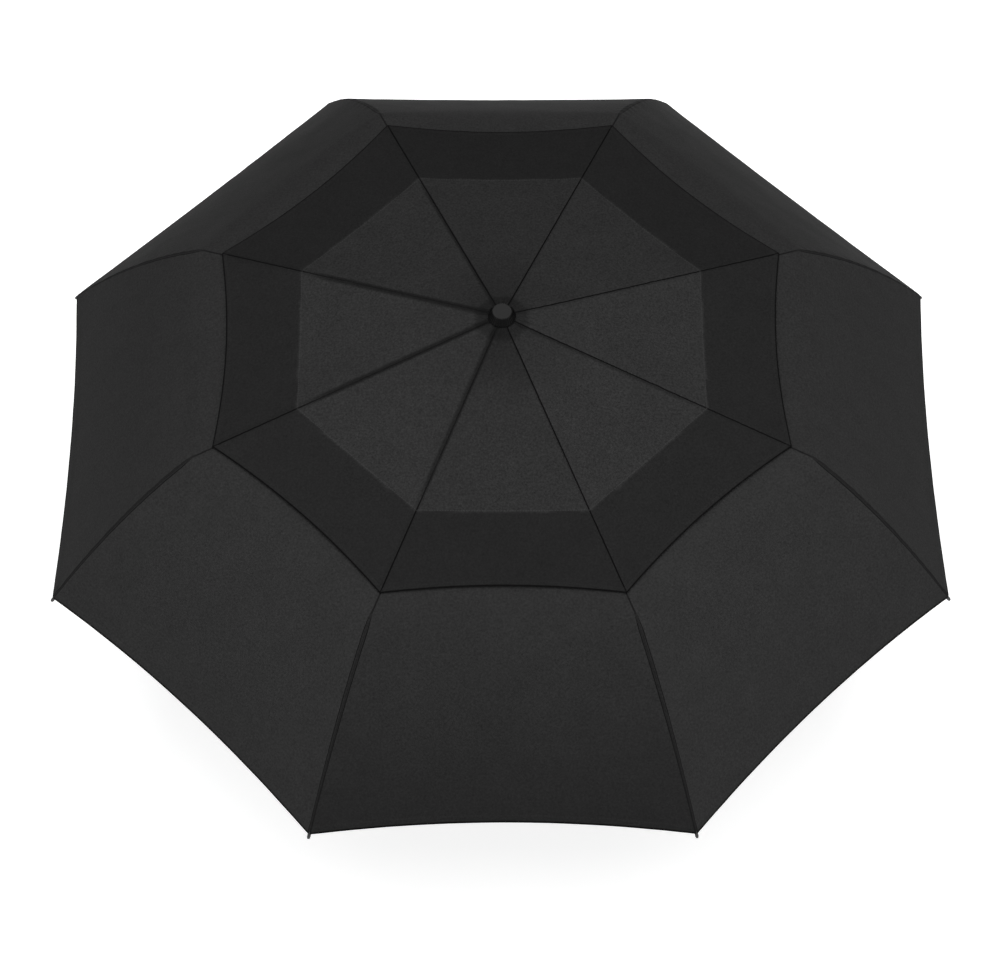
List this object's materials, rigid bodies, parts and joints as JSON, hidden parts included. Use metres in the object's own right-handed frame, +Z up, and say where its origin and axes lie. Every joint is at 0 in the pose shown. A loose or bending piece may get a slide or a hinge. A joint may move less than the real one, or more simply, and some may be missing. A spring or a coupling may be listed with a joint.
{
  "type": "folding umbrella",
  "caption": "Pocket umbrella, open: vented double canopy on three-fold ribs, telescopic shaft with a sliding runner, push-button handle.",
  "frame": {"origin": "centre of the handle's flat bottom face", "axes": "+Z up the shaft towards the cap, +X along the strap hole, -Y the side of the push button; ribs at 22.5 degrees from +X and every 45 degrees"},
  "size_m": [0.9654, 0.9654, 0.6453],
  "materials": {
    "canopy_fabric": "matte",
    "black_plastic": "satin",
    "grip_plastic": "matte",
    "button_plastic": "gloss",
    "shaft_steel": "polished",
    "rib_paint": "satin",
    "fibreglass": "satin",
    "spring_steel": "satin"
  },
  "bodies": {
    "handle": {"handle_shell": "grip_plastic", "handle_plug": "black_plastic", "tube_socket": "black_plastic", "handle_collar": "black_plastic", "lower_tube": "shaft_steel", "lower_bush": "black_plastic", "button_spring": "spring_steel", "opening_spring": "spring_steel"},
    "push_button": {"button": "button_plastic", "latch": "spring_steel"},
    "middle_shaft": {"middle_tube": "shaft_steel", "middle_bush": "black_plastic"},
    "top_shaft": {"top_tube": "shaft_steel", "notch_crown": "black_plastic", "notch_wire": "spring_steel", "ferrule_cap": "black_plastic", "upper_canopy": "canopy_fabric", "lower_canopy": "canopy_fabric"},
    "runner": {"runner": "black_plastic"},
    "top_rib_1": {"top_rib_1": "rib_paint"},
    "stretcher_1": {"stretcher_1": "rib_paint"},
    "middle_rib_1": {"middle_rib_1": "rib_paint"},
    "tail_rib_1": {"tail_rib_1": "fibreglass", "rib_tip_1": "black_plastic"},
    "top_rib_2": {"top_rib_2": "rib_paint"},
    "stretcher_2": {"stretcher_2": "rib_paint"},
    "middle_rib_2": {"middle_rib_2": "rib_paint"},
    "tail_rib_2": {"tail_rib_2": "fibreglass", "rib_tip_2": "black_plastic"},
    "top_rib_3": {"top_rib_3": "rib_paint"},
    "stretcher_3": {"stretcher_3": "rib_paint"},
    "middle_rib_3": {"middle_rib_3": "rib_paint"},
    "tail_rib_3": {"tail_rib_3": "fibreglass", "rib_tip_3": "black_plastic"},
    "top_rib_4": {"top_rib_4": "rib_paint"},
    "stretcher_4": {"stretcher_4": "rib_paint"},
    "middle_rib_4": {"middle_rib_4": "rib_paint"},
    "tail_rib_4": {"tail_rib_4": "fibreglass", "rib_tip_4": "black_plastic"},
    "top_rib_5": {"top_rib_5": "rib_paint"},
    "stretcher_5": {"stretcher_5": "rib_paint"},
    "middle_rib_5": {"middle_rib_5": "rib_paint"},
    "tail_rib_5": {"tail_rib_5": "fibreglass", "rib_tip_5": "black_plastic"},
    "top_rib_6": {"top_rib_6": "rib_paint"},
    "stretcher_6": {"stretcher_6": "rib_paint"},
    "middle_rib_6": {"middle_rib_6": "rib_paint"},
    "tail_rib_6": {"tail_rib_6": "fibreglass", "rib_tip_6": "black_plastic"},
    "top_rib_7": {"top_rib_7": "rib_paint"},
    "stretcher_7": {"stretcher_7": "rib_paint"},
    "middle_rib_7": {"middle_rib_7": "rib_paint"},
    "tail_rib_7": {"tail_rib_7": "fibreglass", "rib_tip_7": "black_plastic"},
    "top_rib_8": {"top_rib_8": "rib_paint"},
    "stretcher_8": {"stretcher_8": "rib_paint"},
    "middle_rib_8": {"middle_rib_8": "rib_paint"},
    "tail_rib_8": {"tail_rib_8": "fibreglass", "rib_tip_8": "black_plastic"}
  },
  "joints": [
    {"name": "button_press", "type": "slide", "parent": "handle", "child": "push_button", "axis": [0, 1, 0], "range_m": [0, 0.002], "stiffness_N_per_m": 600, "springref_m": -0.0015, "deforming": ["button_spring"]},
    {"name": "middle_tube_slide", "type": "slide", "parent": "handle", "child": "middle_shaft", "axis": [0, 0, 1], "range_m": [-0.16, 0], "stiffness_N_per_m": 40, "springref_m": 0.2, "deforming": ["opening_spring"]},
    {"name": "top_tube_slide", "type": "slide", "parent": "middle_shaft", "child": "top_shaft", "axis": [0, 0, 1], "range_m": [-0.16, 0], "stiffness_N_per_m": 40, "springref_m": 0.2, "deforming": ["opening_spring"]},
    {"name": "runner_slide", "type": "slide", "parent": "top_shaft", "child": "runner", "axis": [0, 0, 1], "range_m": [-0.12984, 0], "deforming": ["upper_canopy", "lower_canopy"]},
    {"name": "top_rib_1_hinge", "type": "hinge", "parent": "top_shaft", "child": "top_rib_1", "pos_m": [0.01109, 0.00459, 0.63], "axis": [-0.3827, 0.9239, 0], "range_deg": [0, 79.79]},
    {"name": "stretcher_1_hinge", "type": "hinge", "parent": "top_rib_1", "child": "stretcher_1", "pos_m": [0.09101, 0.0377, 0.61383], "axis": [-0.3827, 0.9239, 0], "range_deg": [-147.79, 0]},
    {"name": "middle_rib_1_hinge", "type": "hinge", "parent": "top_rib_1", "child": "middle_rib_1", "pos_m": [0.16155, 0.06692, 0.60337], "axis": [-0.3827, 0.9239, 0], "range_deg": [-180.05, 0]},
    {"name": "tail_rib_1_hinge", "type": "hinge", "parent": "middle_rib_1", "child": "tail_rib_1", "pos_m": [0.32051, 0.13276, 0.56633], "axis": [-0.3827, 0.9239, 0], "range_deg": [0, 145.19]},
    {"name": "top_rib_2_hinge", "type": "hinge", "parent": "top_shaft", "child": "top_rib_2", "pos_m": [0.00459, 0.01109, 0.63], "axis": [-0.9239, 0.3827, 0], "range_deg": [0, 79.79]},
    {"name": "stretcher_2_hinge", "type": "hinge", "parent": "top_rib_2", "child": "stretcher_2", "pos_m": [0.0377, 0.09101, 0.61383], "axis": [-0.9239, 0.3827, 0], "range_deg": [-147.79, 0]},
    {"name": "middle_rib_2_hinge", "type": "hinge", "parent": "top_rib_2", "child": "middle_rib_2", "pos_m": [0.06692, 0.16155, 0.60337], "axis": [-0.9239, 0.3827, 0], "range_deg": [-180.05, 0]},
    {"name": "tail_rib_2_hinge", "type": "hinge", "parent": "middle_rib_2", "child": "tail_rib_2", "pos_m": [0.13276, 0.32051, 0.56633], "axis": [-0.9239, 0.3827, 0], "range_deg": [0, 145.19]},
    {"name": "top_rib_3_hinge", "type": "hinge", "parent": "top_shaft", "child": "top_rib_3", "pos_m": [-0.00459, 0.01109, 0.63], "axis": [-0.9239, -0.3827, 0], "range_deg": [0, 79.79]},
    {"name": "stretcher_3_hinge", "type": "hinge", "parent": "top_rib_3", "child": "stretcher_3", "pos_m": [-0.0377, 0.09101, 0.61383], "axis": [-0.9239, -0.3827, 0], "range_deg": [-147.79, 0]},
    {"name": "middle_rib_3_hinge", "type": "hinge", "parent": "top_rib_3", "child": "middle_rib_3", "pos_m": [-0.06692, 0.16155, 0.60337], "axis": [-0.9239, -0.3827, 0], "range_deg": [-180.05, 0]},
    {"name": "tail_rib_3_hinge", "type": "hinge", "parent": "middle_rib_3", "child": "tail_rib_3", "pos_m": [-0.13276, 0.32051, 0.56633], "axis": [-0.9239, -0.3827, 0], "range_deg": [0, 145.19]},
    {"name": "top_rib_4_hinge", "type": "hinge", "parent": "top_shaft", "child": "top_rib_4", "pos_m": [-0.01109, 0.00459, 0.63], "axis": [-0.3827, -0.9239, 0], "range_deg": [0, 79.79]},
    {"name": "stretcher_4_hinge", "type": "hinge", "parent": "top_rib_4", "child": "stretcher_4", "pos_m": [-0.09101, 0.0377, 0.61383], "axis": [-0.3827, -0.9239, 0], "range_deg": [-147.79, 0]},
    {"name": "middle_rib_4_hinge", "type": "hinge", "parent": "top_rib_4", "child": "middle_rib_4", "pos_m": [-0.16155, 0.06692, 0.60337], "axis": [-0.3827, -0.9239, 0], "range_deg": [-180.05, 0]},
    {"name": "tail_rib_4_hinge", "type": "hinge", "parent": "middle_rib_4", "child": "tail_rib_4", "pos_m": [-0.32051, 0.13276, 0.56633], "axis": [-0.3827, -0.9239, 0], "range_deg": [0, 145.19]},
    {"name": "top_rib_5_hinge", "type": "hinge", "parent": "top_shaft", "child": "top_rib_5", "pos_m": [-0.01109, -0.00459, 0.63], "axis": [0.3827, -0.9239, 0], "range_deg": [0, 79.79]},
    {"name": "stretcher_5_hinge", "type": "hinge", "parent": "top_rib_5", "child": "stretcher_5", "pos_m": [-0.09101, -0.0377, 0.61383], "axis": [0.3827, -0.9239, 0], "range_deg": [-147.79, 0]},
    {"name": "middle_rib_5_hinge", "type": "hinge", "parent": "top_rib_5", "child": "middle_rib_5", "pos_m": [-0.16155, -0.06692, 0.60337], "axis": [0.3827, -0.9239, 0], "range_deg": [-180.05, 0]},
    {"name": "tail_rib_5_hinge", "type": "hinge", "parent": "middle_rib_5", "child": "tail_rib_5", "pos_m": [-0.32051, -0.13276, 0.56633], "axis": [0.3827, -0.9239, 0], "range_deg": [0, 145.19]},
    {"name": "top_rib_6_hinge", "type": "hinge", "parent": "top_shaft", "child": "top_rib_6", "pos_m": [-0.00459, -0.01109, 0.63], "axis": [0.9239, -0.3827, 0], "range_deg": [0, 79.79]},
    {"name": "stretcher_6_hinge", "type": "hinge", "parent": "top_rib_6", "child": "stretcher_6", "pos_m": [-0.0377, -0.09101, 0.61383], "axis": [0.9239, -0.3827, 0], "range_deg": [-147.79, 0]},
    {"name": "middle_rib_6_hinge", "type": "hinge", "parent": "top_rib_6", "child": "middle_rib_6", "pos_m": [-0.06692, -0.16155, 0.60337], "axis": [0.9239, -0.3827, 0], "range_deg": [-180.05, 0]},
    {"name": "tail_rib_6_hinge", "type": "hinge", "parent": "middle_rib_6", "child": "tail_rib_6", "pos_m": [-0.13276, -0.32051, 0.56633], "axis": [0.9239, -0.3827, 0], "range_deg": [0, 145.19]},
    {"name": "top_rib_7_hinge", "type": "hinge", "parent": "top_shaft", "child": "top_rib_7", "pos_m": [0.00459, -0.01109, 0.63], "axis": [0.9239, 0.3827, 0], "range_deg": [0, 79.79]},
    {"name": "stretcher_7_hinge", "type": "hinge", "parent": "top_rib_7", "child": "stretcher_7", "pos_m": [0.0377, -0.09101, 0.61383], "axis": [0.9239, 0.3827, 0], "range_deg": [-147.79, 0]},
    {"name": "middle_rib_7_hinge", "type": "hinge", "parent": "top_rib_7", "child": "middle_rib_7", "pos_m": [0.06692, -0.16155, 0.60337], "axis": [0.9239, 0.3827, 0], "range_deg": [-180.05, 0]},
    {"name": "tail_rib_7_hinge", "type": "hinge", "parent": "middle_rib_7", "child": "tail_rib_7", "pos_m": [0.13276, -0.32051, 0.56633], "axis": [0.9239, 0.3827, 0], "range_deg": [0, 145.19]},
    {"name": "top_rib_8_hinge", "type": "hinge", "parent": "top_shaft", "child": "top_rib_8", "pos_m": [0.01109, -0.00459, 0.63], "axis": [0.3827, 0.9239, 0], "range_deg": [0, 79.79]},
    {"name": "stretcher_8_hinge", "type": "hinge", "parent": "top_rib_8", "child": "stretcher_8", "pos_m": [0.09101, -0.0377, 0.61383], "axis": [0.3827, 0.9239, 0], "range_deg": [-147.79, 0]},
    {"name": "middle_rib_8_hinge", "type": "hinge", "parent": "top_rib_8", "child": "middle_rib_8", "pos_m": [0.16155, -0.06692, 0.60337], "axis": [0.3827, 0.9239, 0], "range_deg": [-180.05, 0]},
    {"name": "tail_rib_8_hinge", "type": "hinge", "parent": "middle_rib_8", "child": "tail_rib_8", "pos_m": [0.32051, -0.13276, 0.56633], "axis": [0.3827, 0.9239, 0], "range_deg": [0, 145.19]}
  ],
  "couplings": [
    {"joint": "top_rib_1_hinge", "follows": "runner_slide", "rad_per_m": -10.718},
    {"joint": "stretcher_1_hinge", "follows": "runner_slide", "rad_per_m": 19.859},
    {"joint": "middle_rib_1_hinge", "follows": "runner_slide", "rad_per_m": 24.195},
    {"joint": "tail_rib_1_hinge", "follows": "runner_slide", "rad_per_m": -19.509},
    {"joint": "top_rib_2_hinge", "follows": "runner_slide", "rad_per_m": -10.718},
    {"joint": "stretcher_2_hinge", "follows": "runner_slide", "rad_per_m": 19.859},
    {"joint": "middle_rib_2_hinge", "follows": "runner_slide", "rad_per_m": 24.195},
    {"joint": "tail_rib_2_hinge", "follows": "runner_slide", "rad_per_m": -19.509},
    {"joint": "top_rib_3_hinge", "follows": "runner_slide", "rad_per_m": -10.718},
    {"joint": "stretcher_3_hinge", "follows": "runner_slide", "rad_per_m": 19.859},
    {"joint": "middle_rib_3_hinge", "follows": "runner_slide", "rad_per_m": 24.195},
    {"joint": "tail_rib_3_hinge", "follows": "runner_slide", "rad_per_m": -19.509},
    {"joint": "top_rib_4_hinge", "follows": "runner_slide", "rad_per_m": -10.718},
    {"joint": "stretcher_4_hinge", "follows": "runner_slide", "rad_per_m": 19.859},
    {"joint": "middle_rib_4_hinge", "follows": "runner_slide", "rad_per_m": 24.195},
    {"joint": "tail_rib_4_hinge", "follows": "runner_slide", "rad_per_m": -19.509},
    {"joint": "top_rib_5_hinge", "follows": "runner_slide", "rad_per_m": -10.718},
    {"joint": "stretcher_5_hinge", "follows": "runner_slide", "rad_per_m": 19.859},
    {"joint": "middle_rib_5_hinge", "follows": "runner_slide", "rad_per_m": 24.195},
    {"joint": "tail_rib_5_hinge", "follows": "runner_slide", "rad_per_m": -19.509},
    {"joint": "top_rib_6_hinge", "follows": "runner_slide", "rad_per_m": -10.718},
    {"joint": "stretcher_6_hinge", "follows": "runner_slide", "rad_per_m": 19.859},
    {"joint": "middle_rib_6_hinge", "follows": "runner_slide", "rad_per_m": 24.195},
    {"joint": "tail_rib_6_hinge", "follows": "runner_slide", "rad_per_m": -19.509},
    {"joint": "top_rib_7_hinge", "follows": "runner_slide", "rad_per_m": -10.718},
    {"joint": "stretcher_7_hinge", "follows": "runner_slide", "rad_per_m": 19.859},
    {"joint": "middle_rib_7_hinge", "follows": "runner_slide", "rad_per_m": 24.195},
    {"joint": "tail_rib_7_hinge", "follows": "runner_slide", "rad_per_m": -19.509},
    {"joint": "top_rib_8_hinge", "follows": "runner_slide", "rad_per_m": -10.718},
    {"joint": "stretcher_8_hinge", "follows": "runner_slide", "rad_per_m": 19.859},
    {"joint": "middle_rib_8_hinge", "follows": "runner_slide", "rad_per_m": 24.195},
    {"joint": "tail_rib_8_hinge", "follows": "runner_slide", "rad_per_m": -19.509}
  ]
}
